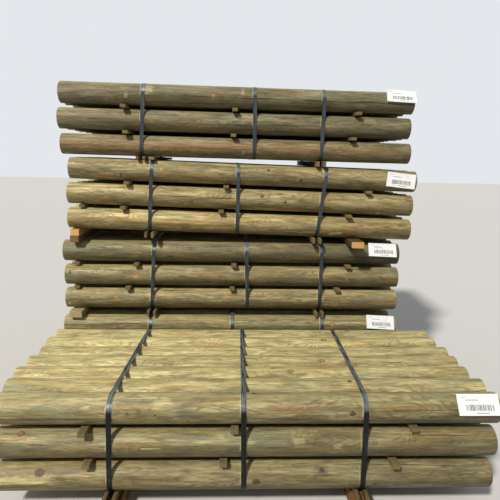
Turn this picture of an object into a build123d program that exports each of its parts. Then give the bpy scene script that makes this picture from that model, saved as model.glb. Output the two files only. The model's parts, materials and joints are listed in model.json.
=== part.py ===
from build123d import *
import os
from dataclasses import dataclass, field
from math import acos, atan2, cos, degrees, hypot, pi, sin, tan, radians

# Bundled round timber posts in a yard pile, in millimetres.
# +X runs to the right along the posts, +Y to the rear and +Z up.
# The origin lies on the ground under the middle of the pile's bounding box.

# Posts: peeled round posts, sold 8 ft long in the 6 in class
POST_LENGTH = 2438.0
POST_DIAMETER = 148.4
POST_END = POST_LENGTH / 2
POST_END_CHAMFER = 3.0
POST_ROWS = 7
POST_LAYERS = 3
POST_SIDE_GAP = 2.5
POST_STAGGER = 12.0

# Clearances between pieces that rest on each other
SEAT = 0.3
STRAP_CLEARANCE = 0.4

# Stickers: flat laths between the layers of a bundle
STICKER_WIDTH = 38.0
STICKER_HEIGHT = 22.0
STICKER_REAR_OVERHANG = 18.0

# Cradle laths: laths on edge under a bundle, one on each side of an outer strap
CRADLE_WIDTH = 19.0
CRADLE_HEIGHT = 38.0
CRADLE_FRONT_OVERHANG = 32.0
CRADLE_REAR_OVERHANG = 15.0
CRADLE_SIDE_GAP = 0.8
LOW_CRADLE_HEIGHT = 22.0

# Spare lath: a cradle lath that lies flat on the third rear bundle's left strap
SPARE_LATH_OFFSET = -1.0
SPARE_LATH_FRONT_OVERHANG = 10.0
SPARE_LATH_REAR_OVERHANG = 12.0

# Straps: flat steel strapping
STRAP_WIDTH = 25.4
STRAP_THICKNESS = 1.0

# Tags: stiff printed cards on the front post of each top layer
TAG_LENGTH = 205.0
TAG_HEIGHT = 102.0
TAG_THICKNESS = 1.0

# Ground bearers that run from front to rear under the whole pile
BEARER_WIDTH = 89.0
BEARER_HEIGHT = 89.0
BEARER_LENGTH = 2438.0
BEARER_FRONT_OVERHANG = 25.0
BEARER_LEFT_X = -655.0
BEARER_RIGHT_X = 575.0

# Timbers between the second and third rear bundles, all of one thickness: two narrow ones stacked
# at the left and a wide one at the right, each with its middle this far in from the posts' ends
TIMBER_THICKNESS = 46.0
LEFT_TIMBER_WIDTH = 60.0
LEFT_TIMBER_INSET = 105.0
LEFT_TIMBER_STEP = 5.0
LEFT_TIMBER_OVERHANG = 45.0
RIGHT_TIMBER_WIDTH = 89.0
RIGHT_TIMBER_INSET = 355.0
RIGHT_TIMBER_OVERHANG = 158.0
TIMBER_REAR_OVERHANG = 20.0

# Plank laid flat between the first and second rear bundles, in from the posts' left ends
PLANK_WIDTH = 89.0
PLANK_HEIGHT = 44.0
PLANK_INSET = 91.0
PLANK_FRONT_OVERHANG = 12.0
PLANK_REAR_OVERHANG = 20.0

# Distance from the front bundle's front row of posts to the first rear bundle's front row
REAR_FIRST_Y = 1337.0


@dataclass
class Strap:
    """A strap's place on the front face, at the top and bottom of its bundle, and its drift to the rear."""

    top_x: float
    bottom_x: float
    rear_drift: float = 0.0


@dataclass
class Lath:
    """A sticker's place along the posts and how far it stands out in front of them."""

    x: float
    front_overhang: float


@dataclass
class Tag:
    """A card's centre, measured in from the post's right end, the slope of its face and its turn there."""

    inset: float
    slope: float
    turn: float


@dataclass
class Bundle:
    """One strapped bundle of posts, described in its own frame.

    Its frame starts under the middle of its front row, on the underside of its posts.
    The thinnest post is thinner than the thickest by the variation. Each layer's front post,
    from the bottom up, is thinner than the thickest by its own amount.
    """

    name: str
    thickest: float
    variation: float
    front_thinner: tuple
    front_shifts: tuple
    straps: tuple
    lower_laths: tuple
    upper_laths: tuple
    tag: Tag
    seed: float
    cradle_heights: tuple = (CRADLE_HEIGHT, CRADLE_HEIGHT)
    height: float = field(init=False)

    def __post_init__(self):
        self.height = POST_LAYERS * self.thickest + (POST_LAYERS - 1) * (STICKER_HEIGHT + 2 * SEAT)

    def layer_bottom(self, layer):
        return layer * (self.thickest + STICKER_HEIGHT + 2 * SEAT)

    def spread(self, layer, row, step):
        """A share from 0 to 1 that differs from post to post in a fixed way."""
        return (self.seed + (layer * POST_ROWS + row) * step) % 1.0

    def diameter(self, layer, row):
        """The front post's own diameter, the thickest size for every second row, or one in the range."""
        if row == 0:
            return self.thickest - self.front_thinner[layer]
        if row % 2 == 1:
            return self.thickest
        return self.thickest - self.variation * (1 - self.spread(layer, row, 0.618))

    def shift(self, layer, row):
        """How far a post lies along X from the middle of the bundle."""
        if row == 0:
            return self.front_shifts[layer]
        return POST_STAGGER * (2 * self.spread(layer, row, 0.382) - 1)

    def posts(self, layer):
        """Each post of a layer as its middle's X, its axis's Y and Z, and its radius."""
        y = 0.0
        found = []
        for row in range(POST_ROWS):
            radius = self.diameter(layer, row) / 2
            if found:
                y += found[-1][3] + POST_SIDE_GAP + radius
            found.append((self.shift(layer, row), y, self.layer_bottom(layer) + radius, radius))
        return found

    def all_posts(self):
        return [post for layer in range(POST_LAYERS) for post in self.posts(layer)]

    def front_y(self):
        return min(y - radius for x, y, z, radius in self.all_posts())

    def rear_y(self):
        return max(y + radius for x, y, z, radius in self.all_posts())


FRONT = Bundle(
    name="front",
    thickest=POST_DIAMETER + 3.0,
    variation=5.4,
    front_thinner=(3.4, 1.9, 1.9),
    front_shifts=(-4.0, 2.0, 6.0),
    straps=(Strap(-649.0, -660.0, 31.0), Strap(-20.0, -14.0, 11.0), Strap(566.0, 570.0, 29.0)),
    lower_laths=(Lath(-768.0, 12.0), Lath(-115.0, 2.0), Lath(719.0, 25.0)),
    upper_laths=(Lath(-775.0, 30.0), Lath(-62.0, 2.0), Lath(812.0, -8.0)),
    tag=Tag(109.0, 36.0, 0.0),
    seed=0.11,
)
REAR_FIRST = Bundle(
    name="rear_first",
    thickest=POST_DIAMETER - 7.4,
    variation=5.6,
    front_thinner=(2.6, 1.6, 0.0),
    front_shifts=(0.0, 4.0, 0.0),
    straps=(Strap(-597.0, -597.0), Strap(2.0, 2.0), Strap(665.0, 665.0)),
    lower_laths=(Lath(-770.0, 10.0), Lath(-70.0, 15.0), Lath(800.0, 10.0)),
    upper_laths=(Lath(-760.0, 10.0), Lath(-60.0, 10.0), Lath(790.0, 12.0)),
    tag=Tag(119.0, 32.0, -3.0),
    seed=0.37,
)
REAR_SECOND = Bundle(
    name="rear_second",
    thickest=POST_DIAMETER + 5.0,
    variation=6.4,
    front_thinner=(2.4, 3.0, 0.0),
    front_shifts=(2.0, 4.0, -2.0),
    straps=(Strap(-568.0, -593.0), Strap(94.0, 108.0), Strap(645.0, 641.0)),
    lower_laths=(Lath(-763.0, 15.0), Lath(-6.0, 12.0), Lath(772.0, 15.0), Lath(-POST_END + 84.0, -25.0)),
    upper_laths=(Lath(-698.0, 14.0), Lath(5.0, 18.0), Lath(842.0, 15.0), Lath(-POST_END + 90.0, -25.0)),
    tag=Tag(129.0, 30.0, -2.0),
    seed=0.59,
)
REAR_THIRD = Bundle(
    name="rear_third",
    thickest=POST_DIAMETER + 3.0,
    variation=6.4,
    front_thinner=(1.9, 1.9, 2.9),
    front_shifts=(-4.0, -6.0, 6.0),
    straps=(Strap(-640.0, -650.0), Strap(-41.0, -32.0), Strap(581.0, 536.0)),
    lower_laths=(Lath(-834.0, 22.0), Lath(-151.0, 22.0), Lath(757.0, 24.0), Lath(-POST_END + 92.0, -25.0)),
    upper_laths=(Lath(-808.0, 26.0), Lath(-121.0, 18.0), Lath(888.0, 20.0)),
    tag=Tag(111.0, 6.0, -4.5),
    seed=0.83,
)
REAR_FOURTH = Bundle(
    name="rear_fourth",
    thickest=POST_DIAMETER,
    variation=6.4,
    front_thinner=(5.4, 2.4, 0.0),
    front_shifts=(4.0, -10.0, 2.0),
    straps=(Strap(-644.0, -661.0), Strap(112.0, 121.0), Strap(590.0, 588.0)),
    lower_laths=(Lath(-762.0, 34.0), Lath(-28.0, 30.0), Lath(802.0, 34.0)),
    upper_laths=(Lath(-775.0, 38.0), Lath(-21.0, 30.0), Lath(828.0, 36.0)),
    tag=Tag(94.0, 34.0, -2.5),
    seed=0.29,
    cradle_heights=(LOW_CRADLE_HEIGHT, CRADLE_HEIGHT),
)

# How far each rear bundle is shifted from the one below it, the first from the front bundle
REAR_FIRST_X = -75.0
REAR_SECOND_X = 3.0
REAR_SECOND_Y = 45.0
REAR_THIRD_X = 57.0
REAR_THIRD_Y = -45.0
REAR_FOURTH_X = -53.0
REAR_FOURTH_Y = 15.0


def make_post(x, y, z, radius):
    """One round post along X, with its end edges eased."""
    eased_end = POST_END - POST_END_CHAMFER
    eased_radius = radius - POST_END_CHAMFER
    left = [(-POST_END, 0), (-POST_END, eased_radius), (-eased_end, radius)]
    right = [(eased_end, radius), (POST_END, eased_radius), (POST_END, 0)]
    half_section = make_face(Polyline(*left, *right, close=True))
    return Pos(x, y, z) * revolve(half_section, axis=Axis.X)


def leave_angle(first, second):
    """Direction of the outward normal where a tight band leaves the first circle for the second."""
    run_y = second[0] - first[0]
    run_z = second[1] - first[1]
    return atan2(run_z, run_y) - acos((first[2] - second[2]) / hypot(run_y, run_z))


def band_path(circles):
    """The circles that a tight band touches, each with the angles where it arrives and leaves."""
    start = min(circles, key=lambda circle: circle[0] - circle[2])
    here = start
    arrive = pi
    path = []
    tie = 1e-9
    while not path or here != start:
        turns = []
        for other in circles:
            if other != here:
                turns.append(((leave_angle(here, other) - arrive + tie) % (2 * pi), other))
        turn, following = min(turns)
        path.append((here, arrive, arrive + turn))
        arrive += turn
        here = following
    path[0] = (start, arrive - 2 * pi, path[0][2])
    return path


def band_wire(path, offset):
    """The closed outline of a band that lies at an offset outside its circles."""
    edges = []
    shortest_arc = 1e-3
    for index, (circle, arrive, leave) in enumerate(path):
        y, z, radius = circle
        reach = radius + offset
        last = arrive
        if leave - arrive > shortest_arc:
            edges.append(CenterArc((y, z), reach, degrees(arrive), degrees(leave - arrive)))
            last = leave
        following = path[(index + 1) % len(path)][0]
        far = following[2] + offset
        from_point = (y + reach * cos(last), z + reach * sin(last))
        to_point = (following[0] + far * cos(leave), following[1] + far * sin(leave))
        edges.append(Line(from_point, to_point))
    return Wire(edges)


def make_strap(bundle, strap):
    """A closed steel band round all the posts of a bundle, in a plane that leans and drifts."""
    lean = (strap.top_x - strap.bottom_x) / bundle.height
    drift = strap.rear_drift / bundle.rear_y()
    along = Vector(drift, 1, 0)
    upward = Vector(lean, 0, 1)
    plane = Plane(origin=(strap.bottom_x, 0, 0), x_dir=along, z_dir=along.cross(upward))
    circles = []
    for x, y, z, radius in bundle.all_posts():
        crossing = plane.to_local_coords(Vector(strap.bottom_x + drift * y + lean * z, y, z))
        circles.append((crossing.X, crossing.Y, radius))
    path = band_path(circles)
    inner = band_wire(path, STRAP_CLEARANCE)
    outer = band_wire(path, STRAP_CLEARANCE + STRAP_THICKNESS)
    section = plane * Face(outer, [inner])
    return extrude(section, amount=STRAP_WIDTH / 2, dir=(1, 0, 0), both=True)


def make_cradle(bundle, strap, height):
    """The pair of laths on edge that the strap passes between, under the bundle's posts."""
    front = bundle.front_y() - CRADLE_FRONT_OVERHANG
    length = bundle.rear_y() + CRADLE_REAR_OVERHANG - front
    turn = -degrees(atan2(strap.rear_drift, bundle.rear_y()))
    side = STRAP_WIDTH / 2 + CRADLE_SIDE_GAP + CRADLE_WIDTH / 2
    lath = Box(CRADLE_WIDTH, length, height, align=(Align.CENTER, Align.MIN, Align.MAX))
    middle = Pos(strap.bottom_x, 0, -SEAT) * Rot(0, 0, turn)
    return [middle * Pos(place, front, 0) * lath for place in (-side, side)]


def make_sticker(bundle, lath, gap):
    """One flat lath on top of a layer of posts, from the front of the bundle to its rear."""
    front = bundle.front_y() - lath.front_overhang
    length = bundle.rear_y() + STICKER_REAR_OVERHANG - front
    bottom = bundle.layer_bottom(gap) + bundle.thickest + SEAT
    align = (Align.CENTER, Align.MIN, Align.MIN)
    return Pos(lath.x, front, bottom) * Box(STICKER_WIDTH, length, STICKER_HEIGHT, align=align)


def make_tag(bundle):
    """The flat card that lies against the front post of the top layer."""
    x, y, z, radius = bundle.posts(POST_LAYERS - 1)[0]
    slope = radians(bundle.tag.slope)
    outward = Vector(0, -cos(slope), sin(slope))
    centre = Vector(POST_END - bundle.tag.inset, y, z) + outward * (radius + SEAT + TAG_THICKNESS / 2)
    face = Plane(origin=centre, x_dir=(1, 0, 0), z_dir=outward)
    return face * Rot(0, 0, bundle.tag.turn) * Box(TAG_LENGTH, TAG_HEIGHT, TAG_THICKNESS)


def make_bundle(bundle):
    """Every named group of solids in a bundle, in the bundle's own frame."""
    pieces = {}
    for layer, layer_name in enumerate(("bottom", "middle", "top")):
        pieces[f"{layer_name}_posts"] = [make_post(*post) for post in bundle.posts(layer)]
    pieces["lower_stickers"] = [make_sticker(bundle, lath, 0) for lath in bundle.lower_laths]
    pieces["upper_stickers"] = [make_sticker(bundle, lath, 1) for lath in bundle.upper_laths]
    for strap, side in zip(bundle.straps, ("left", "middle", "right")):
        pieces[f"{side}_strap"] = [make_strap(bundle, strap)]
    cradles = zip((bundle.straps[0], bundle.straps[-1]), bundle.cradle_heights)
    pieces["cradle_laths"] = [lath for cradle in cradles for lath in make_cradle(bundle, *cradle)]
    pieces["tag"] = [make_tag(bundle)]
    return pieces


def make_bar(width, height, length, x, front, bottom):
    """A straight timber along Y, given by its section, length, middle, front end and underside."""
    return Pos(x, front, bottom) * Box(width, length, height, align=(Align.CENTER, Align.MIN, Align.MIN))


def make_timber(width, x, overhang, bottom):
    """A timber on the second rear bundle, from its overhang at the front to a little past the rear posts."""
    front = REAR_SECOND.front_y() - overhang
    length = REAR_SECOND.rear_y() + TIMBER_REAR_OVERHANG - front
    return make_bar(width, TIMBER_THICKNESS, length, x, front, bottom)


def laid_on(left_x, left_z, right_x, right_z, shift_x, shift_y):
    """The place of a bundle whose posts rest on two points, shifted from the bundle below."""
    tilt = atan2(left_z - right_z, right_x - left_x)
    return Location((shift_x, shift_y, left_z - (shift_x - left_x) * tan(tilt)), (0, degrees(tilt), 0))


def cradle_edge(strap, side):
    """The X of the outer edge of the laths beside a strap, on its right for 1 and on its left for -1."""
    return strap.bottom_x + side * (STRAP_WIDTH / 2 + CRADLE_SIDE_GAP + CRADLE_WIDTH)


# The front bundle and the first rear bundle stand on the ground bearers
base_z = BEARER_HEIGHT + SEAT + CRADLE_HEIGHT + SEAT
front_place = Location((0, 0, base_z))
first_place = Location((REAR_FIRST_X, REAR_FIRST_Y, base_z))

# The second rear bundle lies on a plank at the left and on its own laths at the right
plank_bottom = REAR_FIRST.height + SEAT
plank_x = -POST_END + PLANK_INSET
plank_edge = plank_x + PLANK_WIDTH / 2
strap_top = REAR_FIRST.height + STRAP_CLEARANCE + STRAP_THICKNESS
lath_edge = cradle_edge(REAR_SECOND.straps[-1], 1) + REAR_SECOND_X
plank_top = plank_bottom + PLANK_HEIGHT + SEAT
lath_top = strap_top + SEAT + CRADLE_HEIGHT + SEAT
second_rest = laid_on(plank_edge, plank_top, lath_edge, lath_top, REAR_SECOND_X, REAR_SECOND_Y)
second_place = first_place * second_rest

# The third rear bundle lies on two timbers at the left and one at the right, so it leans to the right
timber_bottom = REAR_SECOND.height + SEAT
upper_timber_bottom = timber_bottom + TIMBER_THICKNESS + SEAT
left_timber_x = -POST_END + LEFT_TIMBER_INSET
right_timber_x = POST_END - RIGHT_TIMBER_INSET
left_edge = left_timber_x + LEFT_TIMBER_WIDTH / 2
right_edge = right_timber_x + RIGHT_TIMBER_WIDTH / 2
left_top = upper_timber_bottom + TIMBER_THICKNESS + SEAT
right_top = timber_bottom + TIMBER_THICKNESS + SEAT
third_rest = laid_on(left_edge, left_top, right_edge, right_top, REAR_THIRD_X, REAR_THIRD_Y)
third_place = second_place * third_rest

# The fourth rear bundle lies on its own cradle laths, which are lower at the left
low_x = cradle_edge(REAR_FOURTH.straps[0], -1) + REAR_FOURTH_X
high_x = cradle_edge(REAR_FOURTH.straps[-1], -1) + REAR_FOURTH_X
low_z, high_z = (REAR_THIRD.height + SEAT + height + SEAT for height in REAR_FOURTH.cradle_heights)
fourth_place = third_place * laid_on(low_x, low_z, high_x, high_z, REAR_FOURTH_X, REAR_FOURTH_Y)

placed = (
    (FRONT, front_place),
    (REAR_FIRST, first_place),
    (REAR_SECOND, second_place),
    (REAR_THIRD, third_place),
    (REAR_FOURTH, fourth_place),
)
nodes = {}
for bundle, place in placed:
    for piece_name, solids in make_bundle(bundle).items():
        nodes[f"{bundle.name}_{piece_name}"] = [place * solid for solid in solids]

bearer_front = FRONT.front_y() - BEARER_FRONT_OVERHANG
for side, bearer_x in (("left", BEARER_LEFT_X), ("right", BEARER_RIGHT_X)):
    bearer = make_bar(BEARER_WIDTH, BEARER_HEIGHT, BEARER_LENGTH, bearer_x, bearer_front, 0)
    nodes[f"{side}_bearer"] = [bearer]

plank_front = REAR_FIRST.front_y() - PLANK_FRONT_OVERHANG
plank_length = REAR_FIRST.rear_y() + PLANK_REAR_OVERHANG - plank_front
plank = make_bar(PLANK_WIDTH, PLANK_HEIGHT, plank_length, plank_x, plank_front, plank_bottom)
nodes["plank"] = [first_place * plank]

lower_timber_x = left_timber_x - LEFT_TIMBER_STEP
nodes["left_timbers"] = [
    second_place * make_timber(LEFT_TIMBER_WIDTH, lower_timber_x, LEFT_TIMBER_OVERHANG, timber_bottom),
    second_place * make_timber(LEFT_TIMBER_WIDTH, left_timber_x, LEFT_TIMBER_OVERHANG, upper_timber_bottom),
]
right_timber = make_timber(RIGHT_TIMBER_WIDTH, right_timber_x, RIGHT_TIMBER_OVERHANG, timber_bottom)
nodes["right_timber"] = [second_place * right_timber]

spare_x = REAR_THIRD.straps[0].top_x + SPARE_LATH_OFFSET
spare_front = REAR_THIRD.front_y() - SPARE_LATH_FRONT_OVERHANG
spare_length = REAR_THIRD.rear_y() + SPARE_LATH_REAR_OVERHANG - spare_front
spare_bottom = REAR_THIRD.height + STRAP_CLEARANCE + STRAP_THICKNESS + SEAT
spare_lath = make_bar(CRADLE_HEIGHT, CRADLE_WIDTH, spare_length, spare_x, spare_front, spare_bottom)
nodes["spare_lath"] = [third_place * spare_lath]

# Move the origin to the middle of the pile's bounding box, on the ground
pile_box = Compound([solid for solids in nodes.values() for solid in solids]).bounding_box()
to_origin = Pos(-pile_box.center().X, -pile_box.center().Y, -pile_box.min.Z)

os.makedirs("parts", exist_ok=True)
for node_name, solids in nodes.items():
    group = Compound([to_origin * solid for solid in solids])
    export_step(group, f"parts/{node_name}.step")
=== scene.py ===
"""Stack of logs: five strapped bundles of peeled, treated pine posts on bearers, with their laths, timbers and tags.

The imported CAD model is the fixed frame. Posts, laths, timbers and tags are built as finer meshes that stand for
their CAD nodes, and the steel bands are the CAD nodes themselves with a worked finish. Lengths in the classes are in
millimetres, Blender's are in metres.
"""

import json
import logging
import math
from dataclasses import dataclass, field, replace
from enum import Enum

import bpy
import numpy as np
from mathutils import Matrix, Vector

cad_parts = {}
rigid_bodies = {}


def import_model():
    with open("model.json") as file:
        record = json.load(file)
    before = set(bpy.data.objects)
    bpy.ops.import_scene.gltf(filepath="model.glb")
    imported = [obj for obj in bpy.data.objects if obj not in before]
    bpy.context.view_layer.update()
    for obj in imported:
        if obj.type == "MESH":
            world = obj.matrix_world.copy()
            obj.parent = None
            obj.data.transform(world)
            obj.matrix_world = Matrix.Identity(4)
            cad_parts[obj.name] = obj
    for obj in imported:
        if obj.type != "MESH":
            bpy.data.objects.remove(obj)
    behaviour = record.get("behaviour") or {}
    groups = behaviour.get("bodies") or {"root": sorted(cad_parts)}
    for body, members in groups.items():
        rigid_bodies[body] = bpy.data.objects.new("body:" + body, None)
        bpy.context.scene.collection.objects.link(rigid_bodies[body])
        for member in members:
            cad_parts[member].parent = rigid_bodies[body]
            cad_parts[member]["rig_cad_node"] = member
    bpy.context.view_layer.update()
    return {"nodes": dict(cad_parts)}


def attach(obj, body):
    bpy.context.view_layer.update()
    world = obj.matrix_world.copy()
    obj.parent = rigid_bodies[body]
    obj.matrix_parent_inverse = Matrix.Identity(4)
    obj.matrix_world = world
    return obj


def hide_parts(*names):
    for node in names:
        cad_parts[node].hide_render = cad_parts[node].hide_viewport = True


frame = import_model()

MM = 0.001
FULL_TURN = 2 * math.pi
BAND_WIDTH = 25.4
FILM_WIDTH = 36.0
LOG = logging.getLogger("stack_of_logs")
Socket = bpy.types.NodeSocket

# Nodes that come up often: what they do here, their kind and their settings.
OFTEN = {
    "times": ("Math", {"operation": "MULTIPLY"}),
    "plus": ("Math", {"operation": "ADD"}),
    "times plus": ("Math", {"operation": "MULTIPLY_ADD"}),
    "vector times": ("VectorMath", {"operation": "MULTIPLY"}),
    "smooth": ("MapRange", {"interpolation_type": "SMOOTHSTEP"}),
    "mix": ("Mix", {"data_type": "RGBA"}),
}


def linear(code: str) -> tuple[float, float, float, float]:
    """Turns an sRGB hex colour into the linear RGBA that the shader sockets take.

    Args:
        code: the colour as "#RRGGBB".

    Returns:
        Red, green, blue and alpha, linear.
    """
    shares = [int(code[i:i + 2], 16) / 255 for i in (1, 3, 5)]
    red, green, blue = [s / 12.92 if s <= 0.04045 else ((s + 0.055) / 1.055) ** 2.4 for s in shares]
    return red, green, blue, 1.0


class Shader:
    """The node tree of one material or of the sky, with the patterns that several finishes share."""

    def __init__(self, tree: bpy.types.NodeTree) -> None:
        """Takes a node tree and empties it."""
        self.tree = tree
        tree.nodes.clear()

    def add(self, kind: str, inputs: tuple | dict = (), output: int | str = 0, **settings: str) -> Socket:
        """Adds one node with its settings, its values and its links.

        Args:
            kind: the node's type without ShaderNode, or a name in OFTEN.
            inputs: each socket's value, hex colour or link, in order or by name or number.
            output: which output to hand back.
            **settings: the node's own properties.

        Returns:
            That output.
        """
        kind, shared = OFTEN.get(kind, (kind, {}))
        node = self.tree.nodes.new("ShaderNode" + kind)
        for name, value in (shared | settings).items():
            setattr(node, name, value)
        for name, value in inputs.items() if isinstance(inputs, dict) else enumerate(inputs):
            if isinstance(value, Socket):
                self.tree.links.new(value, node.inputs[name])
            else:
                node.inputs[name].default_value = linear(value) if isinstance(value, str) else value
        return node.outputs[output] if len(node.outputs) else None

    def mark(self, name: str) -> tuple[Socket, ...]:
        """Reads a mark of the mesh, whole and as its three parts."""
        whole = self.add("Attribute", output="Vector", attribute_name=name)
        return whole, *self.add("SeparateXYZ", (whole,)).node.outputs

    def facing(self, part: int) -> Socket:
        """Gives one part of the way a face looks: 1 is towards the rear and 2 is up."""
        return self.add("SeparateXYZ", (self.add("NewGeometry", output="Normal"),), part)

    def distance(self, place: Socket, plane: tuple[float, float, float]) -> Socket:
        """Gives how far a place lies from the origin, as seen in one plane."""
        flat = self.add("vector times", (place, plane))
        return self.add("VectorMath", (flat,), "Value", operation="LENGTH")

    def streaks(self, grain: Socket, length: float, width: float, detail: float = 2.0,
                roughness: float = 0.5) -> Socket:
        """Adds a noise that is drawn out along the grain, mostly from 0.3 to 0.7.

        Args:
            grain: coordinates in metres, the first of them along the wood.
            length: a streak's length in mm.
            width: its width in mm.
            detail: how much finer noise rides on it.
            roughness: how strong that noise is.

        Returns:
            The noise's value.
        """
        sizes = (1 / (length * MM), 1 / (width * MM), 1 / (width * MM))
        drawn = self.add("vector times", (grain, sizes))
        return self.add("TexNoise", {"Vector": drawn, "Scale": 1.0, "Detail": detail, "Roughness": roughness})

    def between(self, value: Socket, start: float, full: float, fade: float, gone: float) -> Socket:
        """Gives a soft band over a value, which rises from start to full and falls from fade to gone."""
        sides = [self.add("smooth", (value, *ends)) for ends in ((start, full), (fade, gone, 1.0, 0.0))]
        return self.add("times", sides)

    def rings(self, distance: Socket, width: float, start: float) -> Socket:
        """Gives the late wood of yearly rings.

        Args:
            distance: how far the wood lies from the pith, in metres.
            width: a ring's width in mm.
            start: the share of a ring where its late wood begins.

        Returns:
            How much late wood there is.
        """
        count = self.add("times", (distance, 1 / (width * MM)))
        part = self.add("Math", (count,), operation="FRACT")
        return self.between(part, start, 0.9, 0.92, 1.0)

    def coat(self, under: Socket | str, over: Socket | str, value: Socket, start: float, stop: float,
             after: float = 1.0, before: float = 0.0) -> Socket:
        """Lays one colour over another where a value rises.

        Args:
            under: the lower colour.
            over: the upper colour.
            value: what is measured.
            start: where the change begins.
            stop: where it ends.
            after: how much of the upper colour shows from there on.
            before: how much of it shows up to the start.

        Returns:
            The mixed colour.
        """
        share = self.add("smooth", (value, start, stop, before, after))
        return self.add("mix", {0: share, 6: under, 7: over}, 2)

    def tint(self, under: Socket | str, over: Socket | str, share: Socket, most: Socket | float) -> Socket:
        """Lays one colour over another by a share and by the most of it that shows."""
        part = self.add("times", (share, most))
        return self.add("mix", {0: part, 6: under, 7: over}, 2)

    def skin(self, colour: Socket, rough: Socket | float, height: Socket, strength: float, depth: float,
             gloss: float = 0.5, metal: Socket | float = 0.0) -> Socket:
        """Ends a finish with its fine relief and its surface shader.

        Args:
            colour: the base colour.
            rough: the roughness.
            height: the relief's height, as a share of its depth.
            strength: how strongly the relief shows.
            depth: the relief's depth in mm.
            gloss: the specular level.
            metal: how metallic it is.

        Returns:
            The shader's output.
        """
        bump = self.add("Bump", {"Strength": strength, "Distance": depth * MM, "Height": height})
        return self.add("BsdfPrincipled", {"Base Color": colour, "Roughness": rough, "Normal": bump,
                                           "Specular IOR Level": gloss, "Metallic": metal})


@dataclass(frozen=True)
class Finish:
    """A surface: what it is made of and how, as one Blender material."""

    name: str

    def material(self) -> bpy.types.Material:
        """Gives the material, made the first time it is asked for.

        Returns:
            The material of this finish's name.
        """
        made = bpy.data.materials.get(self.name)
        if not made:
            made = bpy.data.materials.new(self.name)
            made.use_nodes = True
            nodes = Shader(made.node_tree)
            nodes.add("OutputMaterial", {"Surface": self.surface(nodes)})
        return made

    def surface(self, nodes: Shader) -> Socket:
        """Builds the shader; each finish has its own."""
        raise NotImplementedError


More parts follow.
